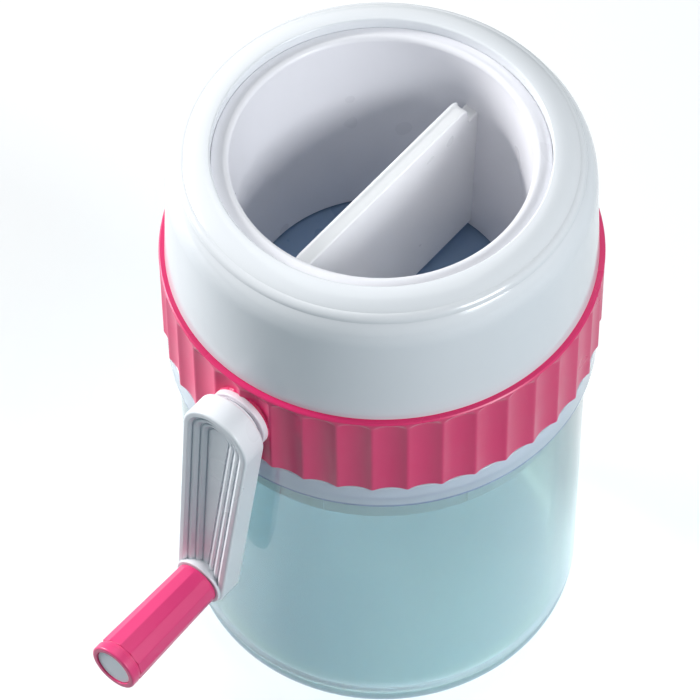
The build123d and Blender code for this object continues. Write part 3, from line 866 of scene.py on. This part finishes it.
@dataclass
class Hood(SubAssembly):
    """The white hood with its rounded shoulder, which the drum hangs in."""

    wall: float = 2.6 * MM
    taper: float = 2.0 * MM
    shoulder: float = 13.0 * MM
    foot_round: float = 0.3 * MM
    edge_round: float = 0.6 * MM
    mouth_gap: float = 0.05 * MM
    spigot: float = 4.0 * MM
    spigot_inset: float = 1.9 * MM
    spigot_wall: float = 2.4 * MM
    mouth_step: float = 6.3 * MM
    guide_wall: float = 2.2 * MM
    guide_depth: float = 12.0 * MM
    guide_inset: float = 2.45 * MM
    ledge: float = 2.4 * MM
    steps: int = 320

    def build(self) -> None:
        """Builds the hood."""
        foot_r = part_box("hood")[1].x
        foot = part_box("ring_housing")[1].z
        top = foot + HOOD_HEIGHT
        crown_r = foot_r - self.taper
        mouth_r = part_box("rotor_drum")[1].x + self.mouth_gap
        guide_r = mouth_r - self.guide_inset
        spigot_r = foot_r - self.spigot_inset
        outside = rounded(
            [
                Corner(spigot_r, foot),
                Corner(foot_r, foot, self.foot_round),
                Corner(crown_r, top, self.shoulder),
                Corner(guide_r, top),
            ],
            closed=False,
        )
        kept = [Corner(*point) for point in outside if point[0] > mouth_r + 2 * self.edge_round]
        ledge_z = top - self.mouth_step
        ledge_r = mouth_r + self.ledge
        outline = rounded(
            [
                *kept,
                Corner(mouth_r, kept[-1].up, self.edge_round),
                Corner(mouth_r, ledge_z, self.edge_round / 2),
                Corner(guide_r, ledge_z, self.edge_round / 2),
                Corner(guide_r, ledge_z - self.guide_depth),
                Corner(guide_r + self.guide_wall, ledge_z - self.guide_depth),
                Corner(guide_r + self.guide_wall, ledge_z - self.ledge),
                Corner(ledge_r, ledge_z - self.ledge),
                Corner(ledge_r, top - self.wall),
                Corner(crown_r - self.wall, top - self.wall, self.wall),
                Corner(foot_r - self.wall, foot + self.spigot),
                Corner(spigot_r - self.spigot_wall, foot),
                Corner(spigot_r - self.spigot_wall, foot - self.spigot),
                Corner(spigot_r, foot - self.spigot),
            ]
        )
        draft = Draft("hood_shell")
        draft.turn(outline, self.steps, looped=True)
        draft.piece("head", "hood", WHITE_SHELL, "hood")


@dataclass
class Chassis(SubAssembly):
    """The floor under the hopper with its neck, slide ring, blade and screws."""

    dressed: ClassVar[dict[str, Finish]] = {
        "chassis": MILKY_CHASSIS,
        "slide_ring": SLIDE_PLASTIC,
        "blade": GROUND_STEEL,
        "blade_screws": TURNED_STEEL,
    }


@dataclass
class Hopper(SubAssembly):
    """The turning drum with its lip, and the vane across it."""

    dressed: ClassVar[dict[str, Finish]] = {
        "crown_gear": GEAR_PLASTIC,
        "gear_screws": TURNED_STEEL,
    }

    wall: float = 2.3 * MM
    rim_drop: float = 3.6 * MM
    rim_width: float = 5.0 * MM
    rim_thickness: float = 2.4 * MM
    rim_round: float = 0.4 * MM
    lip_rise: float = 1.6 * MM
    lip_round: float = 1.5 * MM
    bore_taper: float = 3.6 * MM
    land: float = 7.0 * MM
    flange_width: float = 5.0 * MM
    flange_thickness: float = 2.0 * MM
    gear_web: float = 3.16 * MM
    vane_corner: float = 3.0 * MM
    vane_shoulder: float = 6.3 * MM
    vane_tongue: float = 5.4 * MM
    vane_groove: float = 0.95 * MM
    vane_edge: float = 0.6 * MM
    steps: int = 320

    def build(self) -> None:
        """Builds the drum and the vane."""
        self.build_drum()
        self.build_vane()

    def build_drum(self) -> None:
        """Builds the drum."""
        low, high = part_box("rotor_drum")
        rim_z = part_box("ring_housing")[1].z + HOOD_HEIGHT - self.rim_drop
        lip_z = rim_z + self.lip_rise
        rim_r = high.x
        lip_r = rim_r - self.rim_width
        bore_r = lip_r - self.bore_taper
        foot_r = bore_r + self.wall
        land_r = lip_r + self.wall
        under = rim_z - self.rim_thickness
        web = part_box("crown_gear")[0].z + self.gear_web
        flange = web + self.flange_thickness
        slope = self.bore_taper / (lip_z - low.z)
        outline = rounded(
            [
                Corner(bore_r, low.z, self.rim_round),
                Corner(foot_r, low.z, self.rim_round),
                Corner(foot_r, web),
                Corner(foot_r + self.flange_width, web),
                Corner(foot_r + self.flange_width, flange),
                Corner(foot_r + slope * (flange - low.z), flange),
                Corner(foot_r + slope * (under - self.land - low.z), under - self.land),
                Corner(land_r, under - self.land),
                Corner(land_r, under),
                Corner(rim_r, under, self.rim_round),
                Corner(rim_r, rim_z, self.rim_round),
                Corner(lip_r, lip_z, self.lip_round),
            ]
        )
        draft = Draft("hopper_drum")
        draft.turn(outline, self.steps, looped=True)
        draft.piece("rotor", "drum", WHITE_HOPPER, "rotor_drum")

    def build_vane(self) -> None:
        """Builds the vane, whose shoulders reach into the drum's wall."""
        low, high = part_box("vane")
        shoulder = high.z - self.vane_shoulder
        bore_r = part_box("rotor_drum")[1].x - self.rim_width - self.bore_taper
        top_half = high.y - self.vane_tongue
        side = [
            Corner(bore_r + self.vane_groove, low.z),
            Corner(high.y, shoulder),
            Corner(top_half, shoulder, self.vane_edge),
            Corner(top_half, high.z, self.vane_corner),
        ]
        mirrored = [Corner(-across, up, radius) for across, up, radius in reversed(side)]
        outline = rounded([*side, *mirrored])
        draft = Draft("hopper_vane")
        rings = [[Vector((x, *point)) for point in outline] for x in (low.x, high.x)]
        for ring in draft.skin(rings, looped=False):
            draft.mesh.faces.new(ring)
        draft.soften(self.vane_edge)
        # The vane's finish is a brighter white that paints in light on its face.
        draft.piece("rotor", "vane", LIT_WHITE_VANE, "vane")


@dataclass
class Crank(SubAssembly):
    """The shaft with its pinion and bush, and the arm with its nested recess."""

    dressed: ClassVar[dict[str, Finish]] = {
        "drive_shaft": TURNED_STEEL,
        "pinion": GEAR_PLASTIC,
        "pinion_washer": TURNED_STEEL,
        "pinion_screw": TURNED_STEEL,
    }

    bush_r: float = 5.0 * MM
    bush_bore: float = 3.05 * MM
    flange_r: float = 9.5 * MM
    flange_thickness: float = 2.0 * MM
    flange_round: float = 0.5 * MM
    flange_groove_r: float = 8.5 * MM
    flange_groove: float = 0.3 * MM
    hub_r: float = 11.35 * MM
    foot_r: float = 8.5 * MM
    thickness: float = 8.25 * MM
    back_inset: float = 2.4 * MM
    edge_round: float = 0.8 * MM
    recess_insets: tuple[float, ...] = (1.9 * MM, 4.2 * MM, 6.5 * MM)
    recess_step: float = 0.7 * MM
    recess_run: float = 0.9 * MM
    groove_width: float = 0.6 * MM
    groove_depth: float = 0.5 * MM
    step_round: float = 0.3 * MM
    root_round: float = 0.1 * MM
    hub_boss_r: float = 8.0 * MM
    foot_boss_r: float = 7.6 * MM
    steps: int = 96

    def build(self) -> None:
        """Builds the bush and the arm."""
        self.build_bush()
        self.build_arm()

    def build_bush(self) -> None:
        """Builds the flanged bush."""
        low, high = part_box("crank_bush")
        face = -low.y
        back = face - self.flange_thickness
        groove = self.flange_groove
        outline = rounded(
            [
                Corner(self.bush_bore, -high.y),
                Corner(self.bush_r, -high.y),
                Corner(self.bush_r, back),
                Corner(self.flange_r, back, groove),
                Corner(self.flange_r, face, self.flange_round),
                Corner(self.flange_groove_r + groove, face),
                Corner(self.flange_groove_r, face - groove),
                Corner(self.flange_groove_r - groove, face),
                Corner(self.bush_bore, face),
            ]
        )
        draft = Draft("crank_bearing", Facing.OUT, "crank_bush")
        draft.turn(outline, self.steps, looped=True)
        draft.piece("head", "bush", WHITE_BEARING, "crank_bush")

    def build_arm(self) -> None:
        """Builds the arm with its stepped recess and its two bosses."""
        low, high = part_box("crank_arm")
        face = -low.y
        back = face - self.thickness
        foot = middle("knob_washer") - middle("crank_bush")
        offset = (foot.x, foot.z)
        profile = [
            Corner(self.back_inset, back),
            Corner(0.0, back, self.edge_round),
            Corner(0.0, face, self.edge_round),
        ]
        depth = face
        side = self.groove_width / 4
        for inset in self.recess_insets:
            profile.append(Corner(inset, depth, self.step_round))
            depth -= self.recess_step
            root = inset + self.recess_run
            profile += [
                Corner(root, depth, self.root_round),
                Corner(root + side, depth - self.groove_depth),
                Corner(root + 3 * side, depth - self.groove_depth),
                Corner(root + 4 * side, depth, self.root_round),
            ]
        profile.append(Corner(root + 5 * side, depth))
        draft = Draft("crank_arm_shell", Facing.OUT, "crank_bush")
        steps = rounded(profile, closed=False)
        draft.stack([(self.leaf(inset, offset), along) for inset, along in steps])
        inside = back + self.edge_round
        self.add_boss(draft, (0.0, 0.0), self.hub_boss_r, (inside, -high.y))
        self.add_boss(draft, offset, self.foot_boss_r, (inside, face))
        draft.piece("crank", "arm", WHITE_ARM, "crank_arm")

    def leaf(self, inset: float, offset: Point) -> list[Point]:
        """The arm's outline, drawn in from its edge.

        Args:
            inset: The distance inside the arm's edge.
            offset: The foot's place, from the hub.

        Returns:
            The outline's points round the hub and the foot.
        """
        hub_r = self.hub_r - inset
        foot_r = self.foot_r - inset
        heading = math.atan2(offset[1], offset[0])
        lean = math.acos((hub_r - foot_r) / math.hypot(*offset))
        half = self.steps // 2
        points = []
        for centre, radius, start, sweep in (
            ((0.0, 0.0), hub_r, lean, math.tau - 2 * lean),
            (offset, foot_r, -lean, 2 * lean),
        ):
            angles = [heading + start + sweep * step / half for step in range(half + 1)]
            points += arc(centre, radius, angles)
        return points

    def add_boss(self, draft: Draft, centre: Point, radius: float, reach: Point) -> None:
        """Adds a round boss to the arm.

        Args:
            draft: The arm's draft.
            centre: The boss's centre, from the hub.
            radius: The boss's radius.
            reach: Where it starts inside the arm, and its face, along the crank's axis.
        """
        angles = even_angles(self.steps)
        wide, narrow = (arc(centre, r, angles) for r in (radius, radius - self.root_round))
        chamfer = math.copysign(self.root_round, reach[1] - reach[0])
        draft.stack([(wide, reach[0]), (wide, reach[1] - chamfer), (narrow, reach[1])])


@dataclass
class Knob(SubAssembly):
    """The grip with twelve hollow sides on its spindle, between a washer and a cap."""

    dressed: ClassVar[dict[str, Finish]] = {"knob_spindle": TURNED_STEEL}

    sides: int = 12
    base_r: float = 6.9 * MM
    end_r: float = 7.75 * MM
    base_disc: float = 1.0 * MM
    rim_width: float = 2.8 * MM
    rim_round: float = 0.6 * MM
    groove: float = 1.0 * MM
    groove_depth: float = 0.5 * MM
    flute_depth: float = 0.5 * MM
    bore: float = 2.08 * MM
    cap_gap: float = 0.1 * MM
    cap_round: float = 0.3 * MM
    washer_r: float = 7.85 * MM
    washer_round: float = 0.35 * MM
    steps: int = 144

    def build(self) -> None:
        """Builds the grip, the washer and the cap."""
        low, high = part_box("knob_cap")
        cap_r = (high.x - low.x) / 2
        washer_radii = (self.bore, self.washer_r)
        self.build_grip(cap_r + self.cap_gap, -high.y)
        self.build_disc("knob_collar", "knob_washer", "crank", washer_radii, self.washer_round)
        self.build_disc("knob_end_cap", "knob_cap", "knob", (0.0, cap_r), self.cap_round)

    def build_grip(self, seat_r: float, seat: float) -> None:
        """Builds the grip.

        Args:
            seat_r: The radius of the cap's seat.
            seat: Its place along the axis.
        """
        low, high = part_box("knob_grip")
        base, end = -high.y, -low.y
        rim = end - self.rim_width
        facets_foot = base + self.base_disc
        facets_end = rim - self.groove
        groove_r = self.end_r - self.groove_depth
        fine = self.cap_gap
        outline = rounded(
            [
                Corner(self.bore, base),
                Corner(self.base_r, base, fine),
                Corner(self.base_r, facets_foot),
                Corner(self.base_r, facets_foot + fine),
                Corner(self.end_r, facets_end - fine, fine),
                Corner(groove_r, facets_end, fine),
                Corner(groove_r, rim, fine),
                Corner(self.end_r, rim, 2 * fine),
                Corner(self.end_r, end, self.rim_round),
                Corner(seat_r, end, fine),
                Corner(seat_r, seat),
                Corner(self.bore, seat),
            ]
        )
        half_side = math.pi / self.sides

        def shape(across: float, along: float, angle: float) -> float:
            """The grip's radius at one point."""
            if across < groove_r - fine or not facets_foot < along < facets_end:
                return across
            aside = math.remainder(angle + half_side, 2 * half_side) / half_side
            return across - self.flute_depth * (1.0 - aside * aside)

        draft = Draft("knob_handle", Facing.OUT, "knob_washer")
        draft.turn(outline, self.steps, looped=True, shape=shape)
        draft.piece("knob", "knob", PINK_KNOB, "knob_grip")

    def build_disc(self, name: str, node: str, body: str, radii: Point, edge: float) -> None:
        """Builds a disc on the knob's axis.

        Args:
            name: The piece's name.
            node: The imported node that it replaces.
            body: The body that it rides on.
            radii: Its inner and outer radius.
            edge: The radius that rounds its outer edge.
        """
        low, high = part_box(node)
        inner, outer = radii
        pierced = inner > 0.0
        outline = rounded(
            [
                Corner(inner, -high.y),
                Corner(outer, -high.y),
                Corner(outer, -low.y, edge),
                Corner(inner, -low.y),
            ],
            closed=pierced,
        )
        draft = Draft(name, Facing.OUT, "knob_washer")
        draft.turn(outline, self.steps, looped=pierced)
        draft.piece(body, node, WHITE_BEARING, node)


# ---------------------------- studio


@dataclass(frozen=True)
class Viewpoint:
    """The photograph's camera, as angles round a point near the object's middle."""

    azimuth: float = math.radians(39.3)
    elevation: float = math.radians(53.31)
    roll: float = math.radians(-0.69)
    distance: float = 1.308
    target_right: float = -9.35 * MM
    target_up: float = 103.88 * MM
    focal_px: float = 4500.0
    nearest: float = 0.05
    farthest: float = 20.0

    def place(self) -> None:
        """Makes the camera and sets it as the scene's."""
        right = Vector((math.cos(self.azimuth), math.sin(self.azimuth), 0.0))
        back = Vector(
            (
                math.sin(self.azimuth) * math.cos(self.elevation),
                -math.cos(self.azimuth) * math.cos(self.elevation),
                math.sin(self.elevation),
            )
        )
        upward = back.cross(right)
        turned_right = math.cos(self.roll) * right + math.sin(self.roll) * upward
        turned_up = math.cos(self.roll) * upward - math.sin(self.roll) * right
        target = self.target_right * right + Vector((0.0, 0.0, self.target_up))
        data = bpy.data.cameras.new("photo_camera")
        data.sensor_width = SENSOR_MM
        data.sensor_fit = "HORIZONTAL"
        data.lens = self.focal_px * SENSOR_MM / PHOTO_PX
        data.clip_start = self.nearest
        data.clip_end = self.farthest
        camera = placed("photo_camera", data)
        turn = Matrix((turned_right, turned_up, back)).transposed().to_4x4()
        camera.matrix_world = Matrix.Translation(target + self.distance * back) @ turn
        bpy.context.scene.camera = camera


@dataclass(frozen=True)
class Lamp:
    """A soft square lamp that points at the object's middle."""

    name: str
    place: tuple[float, float, float]
    size: float
    watts: float
    colour: Colour = WHITE

    def hang(self, target: Vector) -> None:
        """Makes the lamp, which faces the target."""
        data = bpy.data.lights.new(self.name, "AREA")
        data.shape = "SQUARE"
        data.size = self.size
        data.energy = self.watts
        data.color = self.colour
        lamp = placed(self.name, data)
        lamp.location = self.place
        lamp.rotation_euler = (target - lamp.location).to_track_quat("-Z", "Y").to_euler()


@dataclass(frozen=True)
class Studio:
    """The pale floor, the soft lamps and the white surroundings."""

    lamps: tuple[Lamp, ...] = (
        Lamp("top_lamp", (-0.25, 0.3, 1.5), 1.0, 5.0),
        Lamp("left_lamp", (-1.38, -0.36, 0.62), 0.5, 29.0),
        Lamp("right_lamp", (1.33, -0.05, 0.88), 0.55, 15.0, (0.95, 0.98, 1.0)),
    )
    target: tuple[float, float, float] = (0.0, 0.0, 0.1)
    floor_half: float = 3.0
    floor_drop: float = 0.2 * MM
    floor_lumps: float = 6.0
    floor_mottle: float = 0.03
    floor_roughness: float = 0.9
    floor_gloss: float = 0.1
    floor_colour: Colour = (0.96, 0.96, 0.96)
    bounce_colour: Colour = (0.1, 0.17, 0.21)
    surroundings: Colour = (0.62, 0.78, 0.86)
    surroundings_strength: float = 0.17

    def build(self) -> None:
        """Makes the floor, the lamps and the world."""
        for lamp in self.lamps:
            lamp.hang(Vector(self.target))
        self.lay_floor()
        self.light_world()

    def lay_floor(self) -> None:
        """Makes the floor, which keeps the object's shadow."""
        half, drop = self.floor_half, -self.floor_drop
        corners = [(x * half, y * half, drop) for x, y in ((-1, -1), (1, -1), (1, 1), (-1, 1))]
        mesh = bpy.data.meshes.new("floor")
        mesh.from_pydata(corners, [], [(0, 1, 2, 3)])
        floor = placed("floor", mesh)
        material = bpy.data.materials.new("pale_floor")
        table = NodeTable(material)
        bounce = table.coloured(table.rays(*SEEN_RAYS), self.bounce_colour, self.floor_colour)
        noise = table.noise(self.floor_lumps, CLOUD_DETAIL)
        clouds = table.ranged(noise, NOISE_MIDDLE, (0.0, self.floor_mottle))
        inputs = {
            "Base Color": table.coloured(clouds, bounce, WHITE),
            "Roughness": self.floor_roughness,
            "Specular IOR Level": self.floor_gloss,
        }
        table.show(table.add("BsdfPrincipled", inputs).outputs["BSDF"])
        mesh.materials.append(material)

    def light_world(self) -> None:
        """Makes a world that looks white and lights the object softly."""
        world = bpy.data.worlds.new("studio_world")
        bpy.context.scene.world = world
        table = NodeTable(world)
        colour = (*self.surroundings, 1.0)
        light = table.add("Background", {"Color": colour, "Strength": self.surroundings_strength})
        seen = table.add("Background", {"Color": (*WHITE, 1.0), "Strength": 1.0})
        table.show(table.mixed(table.rays(*SEEN_RAYS), light, seen))


def main() -> None:
    """Builds and dresses every sub-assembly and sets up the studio."""
    logging.basicConfig(level=logging.INFO, format="%(name)s: %(message)s")
    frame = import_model()
    bpy.context.scene.view_settings.view_transform = "Standard"
    for kind in (Cup, FlutedRing, Hood, Chassis, Hopper, Crank, Knob):
        assembly = kind(frame["nodes"])
        assembly.build()
        assembly.dress()
    Studio().build()
    Viewpoint().place()


if __name__ == "__main__":
    main()
